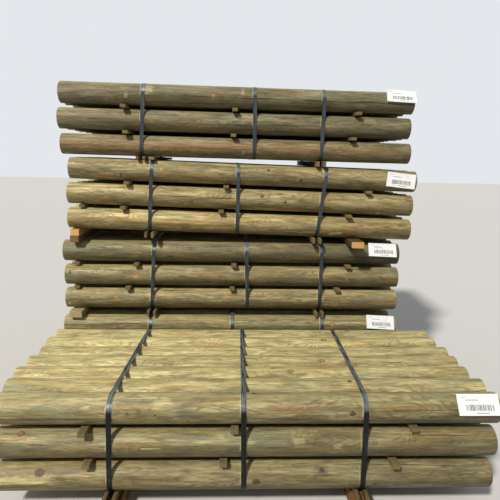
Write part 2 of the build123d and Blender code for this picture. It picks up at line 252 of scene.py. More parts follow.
@dataclass(frozen=True)
class PeeledPine(Finish):
    """Pine log, machine peeled to a round post and pressure treated with copper.

    Peeling cuts the yearly rings at a slant, which the eye reads as long flames and swirls. The copper leaves a
    green cast over the yellow wood, the sun bleaches it, and handling leaves dirt, pale scuffs and orange streaks.
    Over this lies painted light: up-facing tops are paler still and down-facing faces carry painted shade.
    """

    pale: str = "#CDBD84"
    tan: str = "#A18C56"
    green: str = "#82855F"
    latewood: str = "#7A6238"
    orange: str = "#BE8D4E"
    grime: str = "#463C28"
    knot_heart: str = "#C29A64"
    knot_wood: str = "#37281A"
    crack: str = "#211911"
    green_share: float = 0.5
    grime_share: float = 0.35

    def surface(self, nodes: Shader) -> Socket:
        """Builds the peeled wood's shader.

        Args:
            nodes: the material's nodes.

        Returns:
            The shader's output.
        """
        grain = nodes.add("Attribute", output="Vector", attribute_name="grain")
        split = nodes.add("Attribute", output="Fac", attribute_name="split")
        _, light, green, dirt = nodes.mark("tone")
        # The nearest knot's own coordinates: 1 is its rim.
        knot, _, _, knot_kind = nodes.mark("knot")
        ragged = nodes.add("smooth", (nodes.streaks(grain, 16, 8, 3.0, 0.6), 0.3, 0.7, -0.28, 0.28))
        away = nodes.add("plus", (nodes.distance(knot, (1.0, 1.0, 0.0)), ragged))
        swirl = nodes.add("smooth", (away, 0.6, 3.6, 3.2, 0.0))
        # Yearly rings are 3 to 5 mm wide, too fine to show here, so the flames are drawn about 17 mm apart.
        wander = nodes.add("times plus", (nodes.streaks(grain, 390, 105, 2.0, 0.42), 18.0, swirl))
        ring = nodes.add("Math", (wander,), operation="FRACT")
        clear = nodes.add("smooth", (nodes.streaks(grain, 300, 80), 0.38, 0.56, 0.1, 1.0))
        late = nodes.add("times", (nodes.between(ring, 0.45, 0.9, 0.9, 1.0), clear))
        colour = nodes.coat(self.tan, self.pale, nodes.streaks(grain, 330, 42, 4.0, 0.6), 0.37, 0.63)
        colour = nodes.tint(colour, self.latewood, late, 0.74)
        copper = nodes.add("plus", (nodes.streaks(grain, 340, 40, 4.0, 0.62), green))
        cast = 0.2 * self.green_share
        colour = nodes.coat(colour, self.green, copper, 0.58 - cast, 0.72 - cast, 0.8)
        colour = nodes.coat(colour, self.orange, nodes.streaks(grain, 340, 16, 3.0), 0.54, 0.68, 0.5)
        # Wood fibres are finer than a millimetre; they are drawn 5 mm apart so that they show.
        fibre = nodes.streaks(grain, 120, 5, 4.0, 0.65)
        colour = nodes.coat(colour, self.latewood, fibre, 0.42, 0.68, 0.55)
        soil = nodes.add("plus", (nodes.streaks(grain, 150, 40, 5.0, 0.65), dirt))
        soil = nodes.add("smooth", (soil, 0.56 - 0.12 * self.grime_share, 0.8, 0.0, 0.6))
        colour = nodes.add("mix", {0: soil, 6: colour, 7: self.grime}, 2)
        facing = nodes.facing(2)
        # Painted shade: faces that look down are darkened towards the soil colour, which stands in for shade
        # underneath.
        colour = nodes.coat(colour, self.grime, facing, -0.6, 0.75, 0.0, 0.6)
        # Up-facing tops are paler: partly sun bleaching, partly painted top light.
        colour = nodes.coat(colour, self.pale, facing, 0.6, 1.0, 0.35)
        colour = self.scuffed(nodes, colour, grain)
        colour = nodes.tint(colour, self.orange, nodes.between(away, 0.9, 1.2, 1.3, 2.3), 0.28)
        heart = nodes.add("mix", {0: knot_kind, 6: self.knot_heart, 7: self.knot_wood}, 2)
        colour = nodes.coat(colour, heart, away, 0.7, 1.0, 0.0, 0.8)
        rim = nodes.add("smooth", (knot_kind, 0.0, 0.5, 0.3, 0.7))
        colour = nodes.tint(colour, self.knot_wood, nodes.between(away, 0.55, 0.9, 0.95, 1.35), rim)
        colour = nodes.coat(colour, self.crack, split, 0.08, 0.45, 0.94)
        mottle = nodes.add("smooth", (nodes.streaks(grain, 190, 20, 5.0, 0.7), 0.32, 0.68, 0.68, 1.32))
        speck = nodes.add("smooth", (nodes.streaks(grain, 62, 7, 4.0, 0.7), 0.3, 0.7, 0.76, 1.22))
        bright = nodes.add("times", (light, nodes.add("times", (mottle, speck))))
        colour = nodes.add("HueSaturation", {"Value": bright, "Color": colour})
        relief = nodes.add("times plus", (late, 0.583, fibre))
        rough = nodes.add("smooth", (soil, 0.0, 0.6, 0.56, 0.74))
        return nodes.skin(colour, rough, relief, 0.5, 0.72)

    def scuffed(self, nodes: Shader, colour: Socket, grain: Socket) -> Socket:
        """Lays the scuffs over the wood's colour.

        Args:
            nodes: the material's nodes.
            colour: the colour under them.
            grain: coordinates in metres, the first of them along the wood.

        Returns:
            The colour with its scuffs.
        """
        scuff, _, _, scuff_kind = nodes.mark("scuff")
        scuff = nodes.add("VectorMath", (scuff,), operation="ABSOLUTE")
        across, along, _ = nodes.add("SeparateXYZ", (scuff,)).node.outputs
        ragged = nodes.add("smooth", (nodes.streaks(grain, 60, 8, 3.0), 0.3, 0.7, -0.3, 0.3))
        reach = nodes.add("plus", (nodes.add("Math", (across, along), operation="MAXIMUM"), ragged))
        for kind, shade, most, inner in ((ScuffKind.PALE, self.pale, 0.75, 0.7),
                                         (ScuffKind.ORANGE, self.orange, 0.5, 0.2),
                                         (ScuffKind.BROWN, self.grime, 0.7, 0.1)):
            this = nodes.add("Math", (scuff_kind, kind.value, 0.3), operation="COMPARE")
            mark = nodes.add("smooth", (reach, inner, 1.1, most, 0.0))
            colour = nodes.tint(colour, shade, this, mark)
        return colour


@dataclass(frozen=True)
class PineEndGrain(Finish):
    """Cross-cut end of a treated pine post, as the saw left it.

    The eye sees rings round the pith, a green outer band where the copper went in, and fine drying checks.
    """

    heart: str = "#B8935A"
    sap: str = "#98905E"
    latewood: str = "#6E5630"
    crack: str = "#2E2418"
    ring_width: float = 4.5

    def surface(self, nodes: Shader) -> Socket:
        """Builds the end grain's shader.

        Args:
            nodes: the material's nodes.

        Returns:
            The shader's output.
        """
        grain, _, side, up = nodes.mark("grain")
        split = nodes.add("Attribute", output="Fac", attribute_name="split")
        _, light, core, _ = nodes.mark("tone")
        far = nodes.distance(grain, (0.0, 1.0, 1.0))
        out = nodes.add("times plus", (nodes.streaks(grain, 60, 38), 0.012, far))
        # Rings are 2 to 5 mm wide and are drawn near the widest so that they show.
        late = nodes.rings(out, self.ring_width, 0.4)
        girth = nodes.add("times plus", (core, 0.2, out))
        colour = nodes.coat(self.heart, self.sap, girth, 0.012, 0.05)
        colour = nodes.tint(colour, self.latewood, late, 0.6)
        turn = nodes.add("times", (nodes.add("Math", (side, up), operation="ARCTAN2"), 2.2))
        spoke = nodes.add("CombineXYZ", (turn, light, nodes.add("times", (far, 3.0))))
        ray = nodes.add("TexNoise", {"Vector": spoke, "Scale": 2.0, "Detail": 3.0})
        ray = nodes.add("Math", (nodes.add("Math", (ray, 0.5), operation="SUBTRACT"),), operation="ABSOLUTE")
        inner = nodes.add("smooth", (far, 0.006, 0.03))
        colour = nodes.tint(colour, self.crack, nodes.add("smooth", (ray, 0.0, 0.012, 0.9, 0.0)), inner)
        saw = nodes.streaks(grain, 30, 6, 3.0)
        colour = nodes.coat(colour, self.latewood, saw, 0.45, 0.75, 0.35)
        colour = nodes.coat(colour, self.crack, split, 0.12, 0.6)
        colour = nodes.add("HueSaturation", {"Value": light, "Color": colour})
        return nodes.skin(colour, 0.86, nodes.add("times plus", (late, 0.8, saw)), 0.6, 0.5, 0.25)


@dataclass(frozen=True)
class SawnPine(Finish):
    """Rough-sawn pine, left as the band saw cut it.

    Straight ring lines run along it, the ends show them as arcs, and the saw leaves fine bars across the faces. The
    cut ends look fresh, while the long faces are darker: weathered outdoors, and on the right timber painted shade.
    """

    early: str
    late: str
    stain: str
    stain_share: float = 0.4
    dulled: str = "#6A5437"
    dulled_share: float = 0.0
    ring_width: float = 6.0

    def surface(self, nodes: Shader) -> Socket:
        """Builds the sawn wood's shader.

        Args:
            nodes: the material's nodes.

        Returns:
            The shader's output.
        """
        grain = nodes.add("Attribute", output="Vector", attribute_name="grain")
        _, light, _, dirt = nodes.mark("tone")
        far = nodes.distance(grain, (0.0, 1.0, 1.0))
        out = nodes.add("times plus", (nodes.streaks(grain, 420, 60), 0.03, far))
        colour = nodes.tint(self.early, self.late, nodes.rings(out, self.ring_width, 0.35), 0.65)
        fibre = nodes.streaks(grain, 90, 3, 3.0, 0.6)
        colour = nodes.coat(colour, self.late, fibre, 0.42, 0.75, 0.45)
        soil = nodes.add("plus", (nodes.streaks(grain, 130, 30, 4.0, 0.6), dirt))
        ends = (0.64 - 0.2 * self.stain_share, 0.86 - 0.1 * self.stain_share)
        soil = nodes.add("smooth", (soil, *ends))
        colour = nodes.tint(colour, self.stain, soil, 0.8)
        # Every bar lies front to back, so a face that looks that way is a cut end.
        facing = nodes.add("Math", (nodes.facing(1),), operation="ABSOLUTE")
        # The long faces take the darker colour: weathering, and painted shade where that colour is near black.
        colour = nodes.coat(colour, self.dulled, facing, 0.5, 0.85, 0.0, self.dulled_share)
        colour = nodes.add("HueSaturation", {"Value": light, "Color": colour})
        # Band-saw teeth mark the faces every 1 to 2 mm; the bars are drawn 4 mm apart so that they show.
        across = nodes.add("vector times", (grain, (1 / (4 * MM), 4.0, 4.0)))
        saw = nodes.add("TexNoise", {"Vector": across, "Scale": 1.0, "Detail": 1.0})
        rough = nodes.add("smooth", (soil, 0.0, 1.0, 0.78, 0.9))
        return nodes.skin(colour, rough, nodes.add("plus", (saw, fibre)), 0.7, 0.5, 0.25)


@dataclass(frozen=True)
class PaintedBand(Finish):
    """Cold-rolled steel strapping, painted black and waxed.

    The thin paint gives a dark satin face that mirrors the sky softly, with bright rubs where the band was pulled
    tight round a bend and a painted highlight over each bend, a pale dusting and a painted sky sheen on top, and a
    little brown where the paint has gone.
    """

    # The paint colour holds painted reflection: the default is paler, as if mirroring the sky.
    paint: str = "#2A3138"
    rubbed: str = "#7C858B"
    dust: str = "#848E8C"
    rust: str = "#4E3A2B"
    worn_share: float = 1.0
    gloss: float = 0.5

    def surface(self, nodes: Shader) -> Socket:
        """Builds the painted steel's shader.

        Args:
            nodes: the material's nodes.

        Returns:
            The shader's output.
        """
        place = nodes.add("TexCoord", output="Object")
        # Rubs follow the band round the bundle and are 2 to 4 mm wide.
        drawn = nodes.add("vector times", (place, (1 / (4 * MM), 9.0, 9.0)))
        rub = nodes.add("TexNoise", {"Vector": drawn, "Scale": 1.0, "Detail": 4.0, "Roughness": 0.6})
        patch = nodes.add("TexNoise", {"Vector": place, "Scale": 11.0, "Detail": 3.0})
        spot = nodes.add("TexNoise", {"Vector": place, "Scale": 60.0, "Detail": 3.0})
        facing = nodes.facing(2)
        worn = nodes.add("smooth", (patch, 0.42, 0.62, 0.0, self.worn_share))
        worn = nodes.add("times", (nodes.add("smooth", (rub, 0.5, 0.72)), worn))
        colour = nodes.add("mix", {0: worn, 6: self.paint, 7: self.rubbed}, 2)
        rusty = nodes.add("times", (spot, patch))
        rusty = nodes.add("smooth", (rusty, 0.35, 0.42, 0.0, 0.7))
        # Rubs where the band bends over a post, with a painted highlight laid over the same bends.
        bend = nodes.add("smooth", (rub, 0.36, 0.56, 0.15, 0.7))
        bend = nodes.add("times", (nodes.between(facing, 0.12, 0.36, 0.5, 0.8), bend))
        # Up-facing runs are paler: partly dust, partly a painted reflection of the sky.
        dust_and_sheen = nodes.add("smooth", (rub, 0.4, 0.62, 0.05, 0.8))
        dust_and_sheen = nodes.add("times", (nodes.add("smooth", (facing, 0.35, 0.95)), dust_and_sheen))
        for share, shade in ((rusty, self.rust), (bend, self.rubbed), (dust_and_sheen, self.dust)):
            colour = nodes.add("mix", {0: share, 6: colour, 7: shade}, 2)
        rough = nodes.add("smooth", (patch, 0.3, 0.7, 0.36, 0.5))
        for share, more in ((rusty, 0.3), (dust_and_sheen, 0.2)):
            rough = nodes.add("times plus", (share, more, rough))
        bare = nodes.add("smooth", (nodes.add("plus", (bend, worn)), 0.0, 1.0, 0.05, 0.85))
        return nodes.skin(colour, rough, rub, 0.25, 0.6, self.gloss, bare)


@dataclass(frozen=True)
class CoatedCard(Finish):
    """Coated paper board: a white, even face with faint handling marks and a slight sheen."""

    face: str = "#EEEFEF"
    marks: str = "#C9CCCB"

    def surface(self, nodes: Shader) -> Socket:
        """Builds the card's shader.

        Args:
            nodes: the material's nodes.

        Returns:
            The shader's output.
        """
        place = nodes.add("TexCoord", output="Object")
        cloud = nodes.add("TexNoise", {"Vector": place, "Scale": 22.0, "Detail": 4.0})
        pulp = nodes.add("TexNoise", {"Vector": place, "Scale": 500.0, "Detail": 2.0})
        colour = nodes.coat(self.face, self.marks, cloud, 0.52, 0.8, 0.8)
        rough = nodes.add("smooth", (cloud, 0.3, 0.7, 0.42, 0.6))
        return nodes.skin(colour, rough, pulp, 0.2, 0.3)


@dataclass(frozen=True)
class StudioPaper(Finish):
    """Matt seamless paper for the floor, pale and even."""

    face: str = "#DEDCD8"

    def surface(self, nodes: Shader) -> Socket:
        """Builds the paper's shader."""
        return nodes.add("BsdfPrincipled", {"Base Color": self.face, "Roughness": 0.95})


class KnotKind(Enum):
    """How dark a knot's heart is, from live orange wood to a dead black knot."""

    LIVE = 0.0
    RINGED = 0.35
    DEAD = 1.0


class ScuffKind(Enum):
    """What a mark on the bark side is: dry pale wood, fresh orange wood or a brown stain."""

    PALE = 1.0
    ORANGE = 2.0
    BROWN = 3.0


@dataclass(frozen=True)
class Mark:
    """A knot or scuff on a post: its place from the left end, its angle up from the front, and its size, in mm."""

    x: float
    angle: float
    length: float
    width: float
    kind: KnotKind | ScuffKind


@dataclass(frozen=True)
class Check:
    """A drying crack along a post, in mm from its left end, with its angle up from the front in degrees."""

    start: float
    stop: float
    angle: float
    end_angle: float
    width: float
    depth: float


@dataclass(frozen=True)
class PostFace:
    """One post's marks, how bright, green and soiled it is, and how much painted light falls off to its right end."""

    knots: tuple[Mark, ...] = ()
    scuffs: tuple[Mark, ...] = ()
    checks: tuple[Check, ...] = ()
    light: float = 1.0
    green: float = 0.0
    soil: float = 0.0
    fade: float = 0.4


class Detail(Enum):
    """How finely a post is meshed: columns round it and rows along it."""

    CLOSE = (56, 118)
    OPEN = (40, 64)
    INNER = (32, 18)


@dataclass
class Draft:
    """The points, faces and marks of one joined mesh, gathered piece by piece."""

    points: list[np.ndarray] = field(default_factory=list)
    faces: list[list[int]] = field(default_factory=list)
    slots: list[int] = field(default_factory=list)
    point_marks: dict[str, list[np.ndarray]] = field(default_factory=dict)
    corner_marks: dict[str, list[np.ndarray]] = field(default_factory=dict)

    def add(self, points: np.ndarray, faces: list[np.ndarray], slots: list[int], at_points: dict[str, np.ndarray],
            at_corners: dict[str, list[np.ndarray]]) -> None:
        """Adds one body.

        Args:
            points: its points, one a row.
            faces: arrays of faces that index those points.
            slots: the material slot of each of those arrays.
            at_points: values for every point, by mark name.
            at_corners: values for every corner of each array of faces, by mark name.
        """
        first = sum(len(earlier) for earlier in self.points)
        self.points.append(points)
        for group, slot in zip(faces, slots):
            self.faces += (group + first).tolist()
            self.slots += [slot] * len(group)
        for name, values in at_points.items():
            self.point_marks.setdefault(name, []).append(values)
        for name, groups in at_corners.items():
            self.corner_marks.setdefault(name, []).extend(groups)

    def make(self, name: str, finishes: list[Finish], sharp: float) -> bpy.types.Object:
        """Makes the object.

        Args:
            name: the piece's name.
            finishes: the finish of each slot.
            sharp: the angle in degrees from which an edge is sharp.

        Returns:
            The new object, linked to the scene.
        """
        mesh = bpy.data.meshes.new(name)
        mesh.from_pydata(np.concatenate(self.points), [], self.faces, False)
        mesh.polygons.foreach_set("material_index", self.slots)
        mesh.validate()
        for domain, marks in (("POINT", self.point_marks), ("CORNER", self.corner_marks)):
            for mark, parts in marks.items():
                values = np.concatenate(parts).astype(np.float32)
                kind, key = ("FLOAT", "value") if values.ndim == 1 else ("FLOAT_VECTOR", "vector")
                mesh.attributes.new(mark, kind, domain).data.foreach_set(key, values.ravel())
        mesh.set_sharp_from_angle(angle=math.radians(sharp))
        for finish in finishes:
            mesh.materials.append(finish.material())
        made = bpy.data.objects.new(name, mesh)
        bpy.context.scene.collection.objects.link(made)
        return made


# What a face corner holds where no knot or scuff is near: far away along and across, and no kind.
NO_MARK = (9.0, 9.0, 0.0)


def wrapped(angle: np.ndarray) -> np.ndarray:
    """Brings angles into the half turns on either side of zero."""
    return (angle + math.pi) % FULL_TURN - math.pi


def quads(grid: np.ndarray) -> np.ndarray:
    """Gives the four corners of every face of a grid."""
    return np.stack([grid[:-1, :-1], grid[:-1, 1:], grid[1:, 1:], grid[1:, :-1]], -1).reshape(-1, 4)


def ring_faces(index: np.ndarray) -> np.ndarray:
    """Gives the four-cornered faces of a grid of points whose last column meets its first."""
    return quads(np.column_stack([index, index[:, 0]]))


def solids_of(node: str) -> list[np.ndarray]:
    """Splits a CAD node's mesh into its separate solids.

    Args:
        node: the CAD node's name.

    Returns:
        The corner points of each solid, from the front of the stack to its back.
    """
    mesh = frame["nodes"][node].data
    points = np.array([corner.co for corner in mesh.vertices])
    _, same = np.unique(np.round(points, 6), axis=0, return_inverse=True)
    same = same.ravel()
    pairs = same[np.array(mesh.edge_keys)]
    owner, before = np.arange(same.max() + 1), None
    while before is None or (owner != before).any():
        before = owner.copy()
        lowest = owner[pairs].min(axis=1)
        for side in pairs.T:
            np.minimum.at(owner, side, lowest)
        owner = owner[owner]
    label = owner[same]
    found = [points[label == one] for one in np.unique(label)]
    return sorted(found, key=lambda solid: (round(float(solid[:, 1].min()), 3), float(solid[:, 0].min())))


@dataclass(frozen=True)
class LogAxis:
    """Where a round post lies: its left end, its direction, up and front, and its length and radius in metres."""

    start: np.ndarray
    along: np.ndarray
    up: np.ndarray
    front: np.ndarray
    length: float
    radius: float

    @classmethod
    def of(cls, solid: np.ndarray) -> "LogAxis":
        """Reads the axis from a CAD post's points.

        Args:
            solid: the post's points.

        Returns:
            Its axis, running from left to right.
        """
        solid = np.unique(np.round(solid, 5), axis=0)
        rough = np.linalg.svd(solid - solid.mean(0), full_matrices=False)[2][0]
        rough = rough * np.sign(rough[0])
        reach = solid @ rough
        left = solid[reach < reach.min() + MM].mean(0)
        right = solid[reach > reach.max() - MM].mean(0)
        length = np.linalg.norm(right - left)
        along = (right - left) / length
        radius = np.linalg.norm(np.cross(solid - left, along), axis=1).max()
        up = np.array([0.0, 0.0, 1.0]) - along[2] * along
        up = up / np.linalg.norm(up)
        front = np.cross(along, up)
        return cls(left, along, up, front * -np.sign(front[1]), float(length), float(radius))


@dataclass
class Post:
    """One peeled post, drawn just inside its CAD cylinder."""

    axis: LogAxis
    face: PostFace
    detail: Detail
    seed: int
    eased_edge: float = 2.6
    unevenness: float = 1.5
    least_depth: float = 0.4
    knot_swell: float = 1.2
    check_at_end: float = 3.0
    saw_wave: float = 0.35
    pith_shift: float = 11.0
    mark_reach: float = 40.0

    def add_to(self, draft: Draft) -> None:
        """Builds the post's side and ends and adds them to a draft.

        Args:
            draft: the joined mesh that takes them.
        """
        rng = np.random.default_rng(self.seed)
        length, radius = self.axis.length / MM, self.axis.radius / MM
        eased = self.eased_edge
        inner = np.linspace(eased, length - eased, self.detail.value[1])
        rows = np.concatenate([[0.0, eased * 0.3], inner, [length - eased * 0.3, length]])
        tuck = np.zeros(len(rows))
        tuck[[0, -1]] = eased
        tuck[[1, -2]] = eased * 0.3
        angle, groove, split = self.warped(rows, *self.columns(), rng)
        around = radius - (self.relief(rows, angle, rng) + groove + tuck[:, None])
        places = quads(np.repeat(rows[:, None], angle.shape[1] + 1, axis=1))
        angles = quads(np.column_stack([angle, angle[:, 0] + FULL_TURN]))
        face = self.face
        marks = {"knot": self.nearest(places, angles, face.knots), "scuff": self.nearest(places, angles, face.scuffs)}
        turn = rng.uniform(0, FULL_TURN)
        index = np.arange(angle.size).reshape(angle.shape)
        groups = [ring_faces(index)]
        parts = [(self.placed(rows[:, None], angle, around), self.grain_of(rows[:, None], angle + turn, around),
                  split.ravel())]
        first = angle.size
        for end in (0, -1):
            parts.append(self.end_disc(rows[end], angle[end], around[end], split[end], turn, rng))
            middle = first + len(parts[-1][0]) - 1
            grid = np.concatenate([index[end], np.arange(first, middle)]).reshape(-1, angle.shape[1])
            rings = ring_faces(grid)[:, ::-1]
            fan = np.stack([grid[-1], np.full(angle.shape[1], middle), np.roll(grid[-1], -1)], -1)
            groups += [rings, fan] if end == 0 else [rings[:, ::-1], fan[:, ::-1]]
            first = middle + 1
        points, grains, splits = (np.concatenate(part) for part in zip(*parts))
        bare = [np.tile(NO_MARK, (group.size, 1)) for group in groups[1:]]
        tone = np.tile([face.light, face.green, face.soil], (first, 1))
        # Painted light falloff: the left halves are painted brighter and the right halves darker.
        tone[:, 0] *= 1 + face.fade * (0.5 - (points - self.axis.start) @ self.axis.along / self.axis.length)
        draft.add(points, groups, [0, 1, 1, 1, 1], {"grain": grains, "split": splits, "tone": tone},
                  {name: [sides, *bare] for name, sides in marks.items()})

    def columns(self) -> tuple[np.ndarray, np.ndarray, np.ndarray]:
        """Lays out the columns round the post, with three for each check.

        Returns:
            Each column's angle, the number of its check or -1, and its side of that check: -1, 0 or 1.
        """
        count = self.detail.value[0]
        base = np.arange(count) * FULL_TURN / count - math.pi
        taken = {}
        for number, check in enumerate(self.face.checks):
            nearest = int(np.abs(wrapped(base - math.radians(check.angle))).argmin())
            if all(abs(nearest - other) > 2 for other in taken):
                taken[nearest] = number
        columns = [(turn, taken.get(i, -1), side) for i, turn in enumerate(base)
                   for side in ((-1, 0, 1) if i in taken else (0,))]
        return tuple(np.array(values) for values in zip(*columns))

    def warped(self, rows: np.ndarray, turns: np.ndarray, owners: np.ndarray, sides: np.ndarray,
               rng: np.random.Generator) -> tuple[np.ndarray, np.ndarray, np.ndarray]:
        """Bends the columns along the checks and cuts their grooves.

        Args:
            rows: places along the post.
            turns: the columns' angles.
            sides: its side of that check.
            rng: the post's own random numbers.

        Returns:
            The angle, the groove's depth and the share of open crack at every point.
        """
        angle = np.repeat(turns[None, :], len(rows), axis=0)
        groove, split = np.zeros_like(angle), np.zeros_like(angle)
        radius = self.axis.radius / MM
        for number, check in enumerate(self.face.checks):
            mine = owners == number
            if not mine.any():
                continue
            share = (rows - check.start) / (check.stop - check.start)
            path = np.radians(check.angle + (check.end_angle - check.angle) * np.clip(share, 0, 1))
            wave = 0.012 * np.sin(rows / 97 + rng.uniform(0, 6)) + 0.008 * np.sin(rows / 41 + rng.uniform(0, 6))
            here = turns[mine][0]
            pull = wrapped(path + wave - here)
            spread = np.exp(-(wrapped(turns - here) / 0.3) ** 2)
            angle += np.outer(pull, spread)
            opening = np.where((share > 0) & (share < 1), np.sin(math.pi * np.clip(share, 0, 1)) ** 0.45, 0.0)
            for end, row in ((check.start, 0), (check.stop, -1)):
                if end <= 0 or end >= rows[-1]:
                    near = np.abs(rows - rows[row]) < 0.5 * (check.stop - check.start)
                    opening = np.where(near, np.maximum(opening, 0.9), opening)
            opening = opening * (0.75 + 0.25 * np.sin(rows / 63 + rng.uniform(0, 6)))
            half = np.maximum(check.width / 2 * opening, 0.3) / radius
            angle[:, mine] += np.outer(half, sides[mine])
            middle = mine & (sides == 0)
            groove[:, middle] = (check.depth * opening)[:, None]
            split[:, middle] = np.minimum(1.0, opening * 1.6)[:, None]
        return angle, groove, split

    def relief(self, rows: np.ndarray, angle: np.ndarray, rng: np.random.Generator) -> np.ndarray:
        """Gives how far the peeled surface lies inside the full round.

        Args:
            rows: places along the post.
            angle: the angle of every point.
            rng: the post's own random numbers.

        Returns:
            The depth at every point, never under the CAD mesh's own flats.
        """
        x = rows[:, None]
        depth = np.zeros_like(angle)
        for around, wavelength, share in ((2, 2600, 0.3), (1, 900, 0.14), (3, 640, 0.16), (5, 380, 0.12),
                                          (7, 230, 0.1), (2, 170, 0.09), (4, 110, 0.09)):
            phase = rng.uniform(0, FULL_TURN)
            depth += share * (0.5 + 0.5 * np.sin(around * angle + FULL_TURN * x / wavelength + phase))
        depth *= self.unevenness
        radius = self.axis.radius / MM
        for knot in self.face.knots:
            turn = wrapped(angle - math.radians(knot.angle))
            far = np.hypot((x - knot.x) / knot.length, turn * radius / knot.width) * 2
            depth -= self.knot_swell * np.exp(-(far / 1.6) ** 2)
        return np.maximum(depth, self.least_depth)

    def placed(self, x: np.ndarray | float, angle: np.ndarray | float, around: np.ndarray | float) -> np.ndarray:
        """Puts points given in the post's own terms where they are in the stack."""
        axis = self.axis
        ways = ((x, axis.along), (np.cos(angle) * around, axis.front), (np.sin(angle) * around, axis.up))
        return (axis.start + sum(np.multiply.outer(reach, way) * MM for reach, way in ways)).reshape(-1, 3)

    def grain_of(self, x: np.ndarray | float, angle: np.ndarray | float, around: np.ndarray | float) -> np.ndarray:
        """Gives points their place in the wood, which is other wood for every post."""
        places = np.broadcast_arrays(x * MM, np.cos(angle) * around * MM, np.sin(angle) * around * MM)
        return np.stack(places, -1).reshape(-1, 3) + [4.0 * (self.seed % 97), 0.0, 0.0]

    def end_disc(self, x: float, angle: np.ndarray, around: np.ndarray, split: np.ndarray, turn: float,
                 rng: np.random.Generator) -> tuple[np.ndarray, np.ndarray, np.ndarray]:
        """Builds the sawn end inside its eased edge.

        Args:
            x: the end's place along the post.
            angle: the columns' angles there.
            around: the radius of the edge at each column.
            split: how open each column's check is there.
            turn: how far the wood is turned about the axis.
            rng: the post's own random numbers.

        Returns:
            The disc's points ring by ring with the centre last, their grain and their share of open crack.
        """
        shares = np.array([0.93, 0.8, 0.62, 0.44, 0.26, 0.1])[:, None]
        reach = shares * around
        into = 1.0 if x == 0 else -1.0
        depth = into * split * self.check_at_end * np.clip(shares * 1.3, 0, 1)
        depth = depth + into * self.saw_wave * (0.5 + 0.5 * np.sin(reach * np.sin(angle - 0.6) / 9))
        points = [self.placed(x + depth, angle, reach), self.placed(x + into * 0.2, 0.0, 0.0)]
        pith = rng.uniform(-self.pith_shift, self.pith_shift, 2) * MM
        grain = np.concatenate([self.grain_of(x, angle + turn, reach), self.grain_of(x, 0.0, 0.0)])
        opened = (split * np.clip(shares * 1.6, 0, 1)).ravel()
        return np.concatenate(points), grain + np.array([0.0, *pith]), np.append(opened, 0.0)

    def nearest(self, x: np.ndarray, angle: np.ndarray, marks: tuple[Mark, ...]) -> np.ndarray:
        """Gives every face corner its place on the mark nearest its face, counted in that mark's half sizes.

        Args:
            x: places along the post, four for each face.
            angle: their angles.
            marks: the marks of one sort on this post.

        Returns:
            Along, across and the mark's kind for each corner; 9, 9, 0 where no mark is near.
        """
        mid_x, mid_angle = x.mean(1), angle.mean(1)
        best = np.full(len(x), self.mark_reach)
        out = np.tile(NO_MARK, (len(x), 4, 1))
        radius = self.axis.radius / MM
        for mark in marks:
            turn = wrapped(mid_angle - math.radians(mark.angle))
            far = np.hypot((mid_x - mark.x) / (mark.length / 2), turn * radius / (mark.width / 2))
            near = far < best
            best[near] = far[near]
            out[near, :, 0] = (x[near] - mark.x) / (mark.length / 2)
            out[near, :, 1] = (turn[near, None] + angle[near] - mid_angle[near, None]) * radius / (mark.width / 2)
            out[near, :, 2] = mark.kind.value
        return out.reshape(-1, 3)


def usual_face(seed: int, shown: bool, light: float = 0.86) -> PostFace:
    """Gives a post the knots, checks and tone that such posts usually have.

    Args:
        seed: the post's own number.
        shown: whether its side can be seen, so that it needs marks.
        light: how bright its layer is.

    Returns:
        What shows on it.
    """
    rng = np.random.default_rng(seed + 5000)
    knots, scuffs, checks = [], [], []
    for _ in range(rng.integers(3, 7) if shown else 0):
        size = rng.uniform(14, 30)
        kind = (KnotKind.DEAD, KnotKind.RINGED, KnotKind.LIVE)[rng.choice(3, p=(0.5, 0.3, 0.2))]
        knots.append(Mark(rng.uniform(90, 2350), rng.uniform(-180, 180), size * 1.3, size, kind))
    for _ in range(rng.integers(2, 5) if shown else 0):
        kind = (ScuffKind.PALE, ScuffKind.ORANGE, ScuffKind.BROWN)[rng.choice(3, p=(0.3, 0.4, 0.3))]
        place = rng.uniform(60, 2380), rng.uniform(-180, 180)
        scuffs.append(Mark(*place, rng.uniform(60, 420), rng.uniform(8, 26), kind))
    for _ in range(rng.integers(2, 5) if shown else 2):
        start = rng.uniform(-300, 1700)
        turn = rng.uniform(-180, 180)
        checks.append(Check(start, start + rng.uniform(300, 1300), turn, turn + rng.uniform(-5, 5),
                            rng.uniform(1.4, 2.6), rng.uniform(2.5, 5)))
    return PostFace(tuple(knots), tuple(scuffs), tuple(checks), light * rng.uniform(0.87, 1.1),
                    rng.uniform(-0.12, 0.12), rng.uniform(-0.08, 0.06))


def strap_rubs(bundle: str, axis: LogAxis) -> tuple[Mark, ...]:
    """Gives the pale lines that the bands have worn into a front post, along the left edge of each.

    Args:
        bundle: the bundle's name.
        axis: the post's axis.

    Returns:
        A scuff for each band.
    """
    found = []
    for side in ("left", "middle", "right"):
        mesh = frame["nodes"][f"{bundle}_{side}_strap"].data
        points = np.array([corner.co for corner in mesh.vertices]) - axis.start
        front = points[points @ axis.front > 0.9 * axis.radius]
        middle = np.polyval(np.polyfit(front @ axis.up, front @ axis.along, 1), 0.0) / MM
        found.append(Mark(middle - BAND_WIDTH / 2 - 3, angle=34, length=8, width=120, kind=ScuffKind.PALE))
    return tuple(found)


